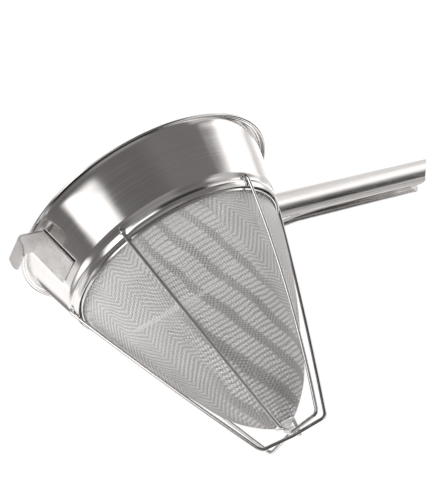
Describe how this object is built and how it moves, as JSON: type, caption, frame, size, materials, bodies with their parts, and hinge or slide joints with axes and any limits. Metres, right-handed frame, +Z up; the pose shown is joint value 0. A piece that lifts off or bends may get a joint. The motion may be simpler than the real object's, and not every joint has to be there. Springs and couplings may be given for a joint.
{
  "type": "double-mesh conical strainer",
  "caption": "Conical steel strainer with nested wire-mesh cones, flared collar, crossed guard wires, channel handle and pot-rest hook.",
  "frame": {"origin": "centre of the rim's top plane, on the cone's axis", "axes": "+Z up along the cone's axis out of the mouth, +X along the handle, -X through the pot hook"},
  "size_m": [0.4252, 0.214, 0.2155],
  "materials": {
    "collar_steel": "mirror-polished stainless sheet with faint turning lines",
    "outer_wire_cloth": "plain-woven stainless wire cloth",
    "inner_wire_cloth": "finer plain-woven stainless wire cloth",
    "cap_steel": "satin stainless with weld discolouration",
    "wire_steel": "bright drawn stainless wire",
    "handle_steel": "polished stainless sheet with lengthwise polishing lines",
    "hook_steel": "dull satin stainless strap"
  },
  "bodies": {
    "root": {"rim_band": "collar_steel", "mesh_hoop": "collar_steel", "outer_mesh_cone": "outer_wire_cloth", "inner_mesh_cone": "inner_wire_cloth", "tip_cap": "cap_steel", "guard_wire_upper": "wire_steel", "guard_wire_middle": "wire_steel", "guard_wire_lower": "wire_steel", "handle": "handle_steel", "pot_hook": "hook_steel"}
  },
  "joints": []
}
